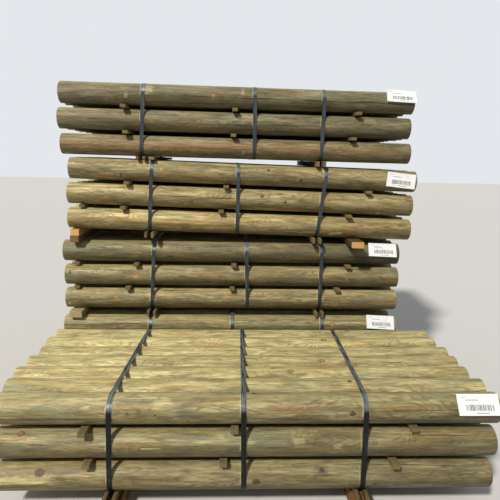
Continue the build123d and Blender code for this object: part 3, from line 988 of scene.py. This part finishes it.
@dataclass
class PostLayer:
    """One layer of a bundle: seven posts side by side."""

    bundle: str
    layer: str
    finish: PeeledPine
    ends: PineEndGrain
    front_face: PostFace
    seed: int
    light: float
    open_above: bool
    close_above: bool

    def build(self) -> bpy.types.Object:
        """Builds the layer's posts as one joined mesh that stands for the CAD node.

        Returns:
            The piece.
        """
        node = f"{self.bundle}_{self.layer}_posts"
        solids = solids_of(node)
        draft = Draft()
        for row, solid in enumerate(solids):
            detail = Detail.OPEN if row == len(solids) - 1 or self.open_above else Detail.INNER
            if row == 0 or self.close_above:
                detail = Detail.CLOSE
            number = self.seed * 10 + row
            axis = LogAxis.of(solid)
            face = usual_face(number, detail is not Detail.INNER, self.light)
            if row == 0:
                face = replace(self.front_face, scuffs=self.front_face.scuffs + strap_rubs(self.bundle, axis))
            Post(axis, face, detail, number).add_to(draft)
        piece = draft.make(f"{node}_peeled", [self.finish, self.ends], sharp=40)
        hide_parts(node)
        return piece


@dataclass(frozen=True)
class BarFrame:
    """Where a sawn bar lies: its middle, its three directions and its three sizes in metres, the longest first."""

    middle: np.ndarray
    axes: np.ndarray
    sizes: np.ndarray

    @classmethod
    def of(cls, solid: np.ndarray) -> "BarFrame":
        """Reads the bar from a CAD box's corner points.

        Args:
            solid: the box's points.

        Returns:
            Its frame.
        """
        gaps = sorted((g for g in (solid - solid[0]).tolist() if np.linalg.norm(g) > 0.3 * MM), key=np.linalg.norm)
        sides: list[np.ndarray] = []
        for gap in gaps:
            size = np.linalg.norm(gap)
            if all(abs(np.dot(gap, side)) < 0.003 * size for side in sides) and len(sides) < 3:
                sides.append(np.array(gap) / size)
        reach = solid @ np.array(sides).T
        order = np.argsort(-np.ptp(reach, axis=0))
        axes = np.array(sides)[order]
        low, high = reach.min(0)[order], reach.max(0)[order]
        axes[2] *= np.sign(np.dot(np.cross(axes[0], axes[1]), axes[2]))
        middle = solid @ axes.T
        middle = (middle.min(0) + middle.max(0)) / 2 @ axes
        return cls(middle, axes, high - low)


@dataclass
class SawnBars:
    """The rough-sawn bars of one CAD node: laths, bearers, timbers or a plank, with worn edges and uneven faces."""

    node: str
    finish: SawnPine
    slot: str
    seed: int
    lights: tuple[float, ...] = (1.0,)
    soils: tuple[float, ...] = (0.0,)
    step: float = 60.0
    edge: float = 1.6
    wane: float = 1.6
    unevenness: float = 0.7

    def build(self) -> bpy.types.Object:
        """Builds the node's bars as one joined mesh that stands for it.

        Returns:
            The piece.
        """
        draft = Draft()
        for number, solid in enumerate(solids_of(self.node)):
            tone = (self.lights[number % len(self.lights)], self.soils[number % len(self.soils)])
            self.add_bar(draft, BarFrame.of(solid), tone, np.random.default_rng(self.seed * 100 + number))
        piece = draft.make(f"{self.node}_sawn", [self.finish], sharp=32)
        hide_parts(self.node)
        return piece

    def add_bar(self, draft: Draft, bar: BarFrame, tone: tuple[float, float], rng: np.random.Generator) -> None:
        """Adds one bar.

        Args:
            draft: the joined mesh that takes it.
            bar: where it lies.
            tone: how bright it is and how much more soiled than usual.
            rng: the bar's own random numbers.
        """
        length, wide, thick = bar.sizes / MM
        lower_left = (-int(np.sign(bar.axes[1][0])), -int(np.sign(bar.axes[2][2])))
        section = self.section(wide, thick, lower_left)
        count = max(2, round(length / self.step)) + 1
        rows = np.concatenate([[0.0, self.edge], np.linspace(self.edge, length - self.edge, count)[1:-1],
                               [length - self.edge, length]])
        local = np.empty((len(rows), len(section), 3))
        local[..., 0] = rows[:, None] - length / 2
        local[..., 1:] = section[None]
        wear = rng.uniform(0, self.unevenness, local.shape[:2])
        wave = 0.5 + 0.5 * np.sin(rows[:, None] / 83 + rng.uniform(0, 6) + np.arange(len(section))[None, :])
        wear = 0.5 * wear + 0.5 * self.unevenness * wave
        local[..., 1:] *= 1 - wear[..., None] / np.array([wide / 2, thick / 2])
        local[[0, -1], :, 1:] *= 1 - self.edge * 1.2 / np.array([wide, thick])
        flat = local.reshape(-1, 3)
        index = np.arange(len(flat)).reshape(local.shape[:2])
        points = bar.middle + flat @ bar.axes * MM
        pith = np.array([rng.uniform(2, 40), rng.uniform(-90, 90), rng.choice([-1, 1]) * rng.uniform(50, 120)])
        marks = np.tile([tone[0] * rng.uniform(0.88, 1.08), 0.0, tone[1] + rng.uniform(-0.08, 0.08)], (len(flat), 1))
        draft.add(points, [ring_faces(index), np.array([index[0][::-1], index[-1]])], [0, 0],
                  {"grain": flat * MM + pith * np.array([1.0, MM, MM]), "tone": marks}, {})

    def section(self, wide: float, thick: float, lower_left: tuple[int, int]) -> np.ndarray:
        """Gives the bar's outline across its length, with worn corners and the wane at its lower left.

        Args:
            wide: the wider side in mm.
            thick: the other side in mm.
            lower_left: the signs of the corner that lies lower left in the stack.

        Returns:
            The outline's points, anticlockwise.
        """
        w, t = wide / 2, thick / 2
        corners = []
        for across, up in ((1, -1), (1, 1), (-1, 1), (-1, -1)):
            e = self.wane if (across, up) == lower_left else self.edge
            ends = np.array([(w, t - e), (w - 0.3 * e, t - 0.3 * e), (w - e, t)]) * (across, up)
            corners.append(ends if across * up > 0 else ends[::-1])
        outline = []
        for corner, following in zip(corners, corners[1:] + corners[:1]):
            last, first = corner[-1], following[0]
            outline += [*corner, last + (first - last) / 3, last + (first - last) * 2 / 3]
        return np.array(outline)


@dataclass
class CardTag:
    """A bundle's card tag: a thin card, slightly curled, with a block of plain bars and a few plain lines."""

    bundle: str
    card: CoatedCard
    ink: CoatedCard
    seed: int
    curl: float = 3.0

    def build(self) -> bpy.types.Object:
        """Builds the card that stands for the CAD tag.

        Returns:
            The piece.
        """
        node = f"{self.bundle}_tag"
        card = BarFrame.of(solids_of(node)[0])
        wide, high, thick = card.sizes / MM
        right = card.axes[0] * np.sign(card.axes[0][0])
        up = card.axes[1] * np.sign(card.axes[1][2])
        out = np.cross(right, up)
        bars = self.bars(wide, high)
        xs = np.unique(np.round([0, wide, *np.linspace(0, wide, 15), *[v for b in bars for v in b[:2]]], 2))
        ys = np.unique(np.round([0, high, *np.linspace(0, high, 7), *[v for b in bars for v in b[2:]]], 2))
        grid_x, grid_y = np.meshgrid(xs, ys, indexing="ij")
        bend = self.curl * ((grid_x / wide - 0.45) ** 2 * 1.6 + 0.5 * (grid_y / high - 0.4) ** 2)
        layers = []
        for level in (thick * 0.4, -thick * 0.4):
            offset = np.stack([grid_x - wide / 2, grid_y - high / 2, bend + level], -1).reshape(-1, 3)
            layers.append(card.middle + offset @ np.array([right, up, out]) * MM)
        index = np.arange(grid_x.size).reshape(grid_x.shape)
        front = np.roll(quads(index)[:, ::-1], 1, axis=1)
        mid_x, mid_y = ((grid[:-1, :-1] + grid[1:, 1:]).ravel() / 2 for grid in (grid_x, grid_y))
        inked = np.any([(mid_x > west) & (mid_x < east) & (mid_y > low) & (mid_y < top)
                        for west, east, low, top in bars], axis=0)
        rim = np.concatenate([index[:, 0], index[-1, 1:], index[-2::-1, -1], index[0, -2:0:-1]])
        after = np.roll(rim, -1)
        edge = np.stack([rim, rim + index.size, after + index.size, after], -1)
        back = front[:, ::-1] + index.size
        draft = Draft()
        draft.add(np.concatenate(layers), [front[~inked], front[inked], back, edge], [0, 1, 0, 0], {}, {})
        piece = draft.make(f"{node}_card", [self.card, self.ink], sharp=30)
        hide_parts(node)
        return piece

    def bars(self, wide: float, high: float) -> list[tuple[float, float, float, float]]:
        """Lays out the card's plain bars, which stand for no code or word.

        Args:
            wide: the card's width in mm.
            high: its height in mm.

        Returns:
            Left, right, bottom and top of each bar, in mm from the card's lower left corner.
        """
        rng = np.random.default_rng(self.seed)
        found = []
        x = wide * 0.2
        while x < wide * 0.86:
            width = rng.uniform(1.6, 5.2)
            found.append((x, x + width, high * 0.22, high * 0.5))
            x += width + rng.uniform(1.8, 5.0)
        lines = ((0.42, 0.72, 0.1, 0.13), (0.2, 0.5, 0.7, 0.73), (0.1, 0.22, 0.84, 0.86))
        return found + [(wide * left, wide * right, high * low, high * top) for left, right, low, top in lines]


# The laths under and between the posts, and the loose one, are of the same wood.
LATH_PINE = SawnPine("sawn_pine_lath", "#8C7B52", "#695735", "#453C29", 0.55)


@dataclass
class BundleDressing:
    """The looks of one strapped bundle: its post layers, laths, steel bands and tag."""

    bundle: str
    finish: PeeledPine
    ends: PineEndGrain
    faces: dict[tuple[str, str], PostFace]
    seed: int
    sunlit: float = 1.08
    shaded: float = 0.86

    def build(self) -> list[bpy.types.Object]:
        """Builds every piece of the bundle.

        Returns:
            The pieces, the steel bands among them.
        """
        pieces = []
        for number, layer in enumerate(("bottom", "middle", "top")):
            # The camera looks along the front bundle's top from close by, and over the top of the pile from afar.
            close, afar = ((self.bundle, layer) == (name, "top") for name in ("front", "rear_fourth"))
            made = PostLayer(self.bundle, layer, self.finish, self.ends, self.faces[self.bundle, layer],
                             self.seed * 3 + number, self.sunlit if close else self.shaded, afar, close)
            pieces.append(made.build())
        for number, part in enumerate(("lower_stickers", "upper_stickers", "cradle_laths")):
            node = f"{self.bundle}_{part}"
            lights = (0.6,) if node == "front_cradle_laths" else (0.8,)
            pieces.append(SawnBars(node, LATH_PINE, "lath_pine", self.seed * 7 + number, lights).build())
        pieces.append(CardTag(self.bundle, CoatedCard("coated_card_white"),
                              CoatedCard("printed_card_grey", "#4C4F50", "#6E7172"), self.seed).build())
        # Painted reflection: rear bands painted paler like sky mirrors, front bands near black like ground mirrors.
        band = PaintedBand("painted_steel_band_sky_reflection")
        if self.bundle == "front":
            band = PaintedBand("painted_steel_band_ground_reflection", "#0F1215", worn_share=0.3, gloss=0.25)
        for side in ("left", "middle", "right"):
            node = frame["nodes"][f"{self.bundle}_{side}_strap"]
            node.material_slots[0].material = band.material()
            pieces.append(node)
        return pieces


@dataclass
class Studio:
    """A plain pale floor, soft light from the upper left and the camera at the photograph's place."""

    camera_place: tuple[float, float, float] = (-49.6, -3417.0, 1737.5)
    yaw: float = -2.185
    pitch: float = 10.19
    roll: float = 0.935
    focal_share: float = 1.0044
    floor_reach: float = 40.0
    key_strength: float = 3.0
    key_way: tuple[float, float, float] = (0.56, 0.95, -1.0)
    key_angle: float = 5.0
    key_colour: tuple[float, float, float] = (1.0, 0.965, 0.9)
    sky_strength: float = 0.33
    backdrop_strength: float = 0.9
    sky_colour: str = "#EFF3F7"

    def build(self) -> None:
        """Builds the floor, the lights and the camera."""
        scene = bpy.context.scene
        scene.view_settings.view_transform = "Standard"
        mesh = bpy.data.meshes.new("studio_floor")
        corners = [(x * self.floor_reach, y * self.floor_reach, 0) for x, y in ((-1, -1), (1, -1), (1, 1), (-1, 1))]
        mesh.from_pydata(corners, [], [(0, 1, 2, 3)])
        mesh.materials.append(StudioPaper("matt_studio_paper").material())
        floor = bpy.data.objects.new("studio_floor", mesh)
        scene.collection.objects.link(floor)
        key = bpy.data.lights.new("key", "SUN")
        key.energy = self.key_strength
        key.angle = math.radians(self.key_angle)
        key.color = self.key_colour
        lamp = bpy.data.objects.new("key", key)
        lamp.rotation_mode = "QUATERNION"
        lamp.rotation_quaternion = Vector(self.key_way).to_track_quat("-Z", "Y")
        scene.collection.objects.link(lamp)
        world = bpy.data.worlds.new("studio_sky")
        scene.world = world
        world.use_nodes = True
        nodes = Shader(world.node_tree)
        path = nodes.add("LightPath").node.outputs
        seen = nodes.add("Math", (path["Is Camera Ray"], path["Is Glossy Ray"]), operation="MAXIMUM")
        strength = nodes.add("MapRange", {0: seen, 3: self.sky_strength, 4: self.backdrop_strength})
        sky = nodes.add("Background", {"Color": self.sky_colour, "Strength": strength})
        nodes.add("OutputWorld", {"Surface": sky})
        self.place_camera(scene)

    def place_camera(self, scene: bpy.types.Scene) -> None:
        """Places the camera where the photograph was taken from.

        Args:
            scene: the scene that takes it.
        """
        data = bpy.data.cameras.new("photo_camera")
        data.sensor_width = FILM_WIDTH
        data.lens = FILM_WIDTH * self.focal_share
        data.clip_end = 200.0
        camera = bpy.data.objects.new("photo_camera", data)
        place = Matrix.Translation(Vector(self.camera_place) * MM)
        for angle, axis in ((self.yaw, "Z"), (90 - self.pitch, "X"), (self.roll, "Z")):
            place = place @ Matrix.Rotation(math.radians(angle), 4, axis)
        camera.matrix_world = place
        scene.collection.objects.link(camera)
        scene.camera = camera


def front_faces() -> dict[tuple[str, str], PostFace]:
    """Gives the marks on the posts that face the camera, one post for each layer of each bundle.

    Returns:
        The faces by bundle and layer.
    """
    dead, ringed, live = KnotKind.DEAD, KnotKind.RINGED, KnotKind.LIVE
    pale, orange, brown = ScuffKind.PALE, ScuffKind.ORANGE, ScuffKind.BROWN
    return {
        ("front", "top"): PostFace(
            knots=(Mark(1712, 4, 26, 24, dead), Mark(777, 1, 11, 10, dead), Mark(1243, 91, 14, 14, dead)),
            scuffs=(Mark(811, 50, 94, 34, pale), Mark(741, 34, 44, 6, brown), Mark(1389, 43, 26, 7, pale),
                    Mark(1483, 29, 9, 12, pale), Mark(1652, 47, 26, 22, pale), Mark(240, -17, 760, 26, brown),
                    Mark(250, 46, 480, 15, orange), Mark(1300, -16, 620, 18, brown)),
            checks=(Check(1790, 2500, 14, 18, 4.0, 5), Check(-200, 700, -24, -20, 4.4, 6)), light=0.77, fade=0.62),
        ("front", "middle"): PostFace(
            knots=(Mark(141, 59, 34, 24, ringed), Mark(1832, 20, 20, 16, ringed)),
            scuffs=(Mark(754, 3, 96, 7, pale), Mark(1469, 28, 60, 30, pale), Mark(1652, 6, 44, 26, pale)),
            checks=(Check(1900, 2600, 50, 40, 3.4, 5),), light=0.61, green=0.02, fade=0.48),
        ("front", "bottom"): PostFace(
            knots=(Mark(230, 39, 44, 32, dead), Mark(1267, 0, 34, 26, dead), Mark(1590, 41, 22, 22, dead)),
            scuffs=(Mark(1590, 36, 90, 60, brown), Mark(150, 10, 300, 40, pale)),
            checks=(Check(1633, 2300, 63, 56, 4.0, 5),), light=0.61, green=-0.08, fade=0.65),
        ("rear_first", "top"): PostFace(
            knots=(Mark(1957, 16, 40, 30, live),),
            scuffs=(Mark(1042, 30, 70, 9, pale), Mark(1300, 32, 80, 8, pale)),
            checks=(Check(-40, 640, 10, 20, 5.4, 8),), light=0.86, green=0.06, fade=0.15),
        ("rear_first", "middle"): usual_face(31, shown=True),
        ("rear_first", "bottom"): usual_face(32, shown=True),
        ("rear_second", "top"): PostFace(
            knots=(Mark(578, 5, 30, 20, ringed), Mark(236, -32, 14, 10, dead)),
            scuffs=(Mark(377, 31, 120, 12, pale), Mark(820, 12, 300, 30, orange), Mark(300, -30, 500, 30, brown)),
            checks=(Check(1500, 2100, -28, -24, 3.0, 4),), light=0.58, green=0.06, fade=0.65),
        ("rear_second", "middle"): PostFace(
            knots=(Mark(512, 2, 40, 30, live), Mark(2052, -3, 36, 34, live), Mark(40, 20, 16, 30, dead)),
            scuffs=(Mark(1050, 15, 700, 18, orange), Mark(1250, 40, 120, 12, pale)),
            checks=(Check(51, 480, 38, 35, 5.0, 7),), light=0.76, green=0.02),
        ("rear_second", "bottom"): PostFace(
            knots=(Mark(365, 12, 36, 34, live), Mark(1451, 2, 22, 20, ringed)),
            scuffs=(Mark(800, 59, 190, 9, brown), Mark(28, -21, 22, 18, pale), Mark(150, 40, 160, 20, orange)),
            checks=(Check(690, 900, 60, 58, 5.0, 5),), light=0.88, fade=0.1),
        ("rear_third", "top"): PostFace(
            knots=(Mark(1383, 32, 20, 20, dead), Mark(1613, -17, 22, 24, dead), Mark(364, -28, 12, 34, dead),
                   Mark(640, 15, 30, 40, live)),
            scuffs=(Mark(900, -10, 420, 26, orange), Mark(1010, 20, 60, 9, pale)),
            checks=(Check(1900, 2500, -30, -34, 2.0, 3),), light=0.8, green=0.03),
        ("rear_third", "middle"): PostFace(
            knots=(Mark(1360, 25, 24, 22, dead), Mark(1523, -2, 18, 18, dead), Mark(1304, -52, 18, 18, dead)),
            scuffs=(Mark(2199, -54, 16, 16, pale), Mark(150, 55, 400, 20, pale)),
            checks=(Check(23, 480, 44, 45, 5.4, 8), Check(620, 1300, 8, 3, 5.4, 8), Check(1700, 2300, 52, 40, 4.0, 6)),
            light=0.9, green=-0.03),
        ("rear_third", "bottom"): PostFace(
            knots=(Mark(1279, 13, 40, 24, ringed),),
            scuffs=(Mark(680, 2, 980, 14, orange), Mark(1892, -33, 90, 26, pale), Mark(2100, 10, 300, 16, orange)),
            checks=(Check(700, 1300, -8, -10, 1.8, 3),), light=1.02),
        ("rear_fourth", "top"): PostFace(
            knots=(Mark(1046, 0, 34, 30, live),),
            scuffs=(Mark(610, 28, 62, 70, pale), Mark(458, -10, 26, 44, pale), Mark(1246, 30, 20, 56, pale)),
            checks=(Check(640, 2500, -5, -9, 5.4, 8),), light=0.6, green=0.02, fade=0.2),
        ("rear_fourth", "middle"): PostFace(
            knots=(Mark(790, -2, 22, 14, ringed), Mark(1852, -6, 40, 36, live)),
            scuffs=(Mark(1264, 1, 20, 40, orange), Mark(640, -4, 60, 40, orange)),
            checks=(Check(940, 1700, -16, -5, 4.6, 7),), light=0.61, green=0.02, fade=0.5),
        ("rear_fourth", "bottom"): PostFace(
            knots=(Mark(1500, 30, 18, 14, ringed),),
            scuffs=(Mark(1256, -11, 20, 50, pale), Mark(2112, 20, 260, 22, orange),
                    Mark(1219, 8, 3200, 90, orange)),
            checks=(Check(740, 1560, -3, -5, 4.2, 6),), light=0.57, green=-0.1),
    }


def main() -> None:
    """Builds the stack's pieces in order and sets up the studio."""
    logging.basicConfig(level=logging.INFO, format="%(message)s")
    faces = front_faces()
    ends = PineEndGrain("sawn_pine_end_grain")
    finishes = {
        "front": PeeledPine("peeled_pine_sunlit", "#CABF88", "#9D8C57"),
        "rear_first": PeeledPine("peeled_pine_greened", green_share=0.6),
        "rear_second": PeeledPine("peeled_pine_damp", green_share=0.65),
        "rear_third": PeeledPine("peeled_pine_yellow", green_share=0.4),
        "rear_fourth": PeeledPine("peeled_pine_browned", "#C6BD8D", "#978A5B", grime_share=0.5),
    }
    pieces = []
    for number, (bundle, finish) in enumerate(finishes.items(), 1):
        pieces += BundleDressing(bundle, finish, ends, faces, number).build()
    bearer = SawnPine("sawn_pine_bearer", "#8F6739", "#6B4826", "#3A3024")
    timber = SawnPine("sawn_pine_timber", "#DBAC6C", "#A97845", "#77614C", 0.2, "#6B4D2C", 0.55)
    # The right timber's long faces are painted near black: a painted shadow from the bundle above.
    stained_and_shadowed = SawnPine("sawn_pine_timber_stained", "#DBAC6C", "#A97845", "#6E5438", 0.3, "#2E2318", 0.9)
    plank = SawnPine("weathered_pine_plank", "#B5A578", "#8F8157", "#6C6244")
    pieces += [
        SawnBars("left_bearer", bearer, "bearer_pine", 901).build(),
        SawnBars("right_bearer", bearer, "bearer_pine", 902).build(),
        SawnBars("left_timbers", timber, "timber_pine", 903, (0.8, 1.05), (0.4, -0.1)).build(),
        SawnBars("right_timber", stained_and_shadowed, "timber_pine", 904, wane=9.0).build(),
        SawnBars("plank", plank, "plank_pine", 905).build(),
        SawnBars("spare_lath", LATH_PINE, "lath_pine", 906).build(),
    ]
    for piece in pieces:
        if "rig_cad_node" not in piece:
            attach(piece, "root")
        LOG.info("%s: %d faces", piece.name, len(piece.data.polygons))
    Studio().build()
    bpy.context.view_layer.update()


if __name__ == "__main__":
    main()
